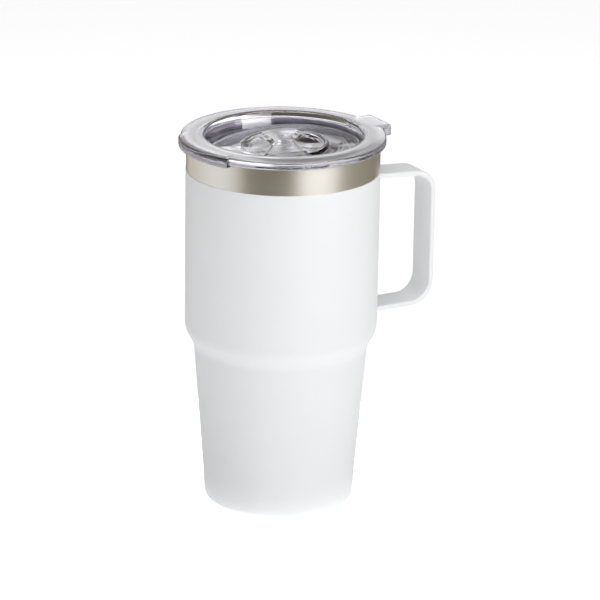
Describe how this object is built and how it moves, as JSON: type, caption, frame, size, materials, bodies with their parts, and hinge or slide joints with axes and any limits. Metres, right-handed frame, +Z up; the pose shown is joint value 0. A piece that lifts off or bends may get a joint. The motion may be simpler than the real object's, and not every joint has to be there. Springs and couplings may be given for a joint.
{
  "type": "insulated travel mug with lid",
  "caption": "Double-wall vacuum travel mug with a stepped round body, a flat D-shaped strap handle and a clear press-in lid with a twist dial over its sip slot.",
  "frame": {"origin": "centre of the foot, on the plane that the mug stands on", "axes": "+Z up along the mug's axis, +X from the axis along the handle and the lid's lift tab"},
  "size_m": [0.1238, 0.092, 0.1724],
  "materials": {
    "brushed_band": "brushed round the mouth, satin",
    "powder_coat": "fine white powder coat, satin",
    "liner_steel": "spun, electropolished",
    "foil": "bright foil",
    "solder": "dull fused bead",
    "getter_metal": "sintered",
    "clear_plastic": "clear moulded copolyester, polished",
    "silicone": "translucent white silicone, matte",
    "clip_plastic": "natural moulded plastic"
  },
  "bodies": {
    "mug": {"outer_shell": "brushed_band", "powder_coat": "powder_coat", "inner_liner": "liner_steel", "foil_wrap": "foil", "base_cap": "liner_steel", "base_disc": "liner_steel", "vacuum_bead": "solder", "getter": "getter_metal", "handle_strap": "powder_coat"},
    "lid": {"lid_body": "clear_plastic", "lid_gasket": "silicone"},
    "dial": {"dial": "clear_plastic", "dial_pad": "silicone", "hub_ring": "silicone", "hub_clip": "clip_plastic"}
  },
  "joints": [
    {"name": "lid_lift", "type": "slide", "parent": "mug", "child": "lid", "axis": [0, 0, 1], "range_m": [0, 0.03]},
    {"name": "dial_turn", "type": "hinge", "parent": "lid", "child": "dial", "pos_m": [0, 0, 0.1653], "axis": [-0.0698, 0, 0.9976], "range_deg": [0, 90]}
  ]
}
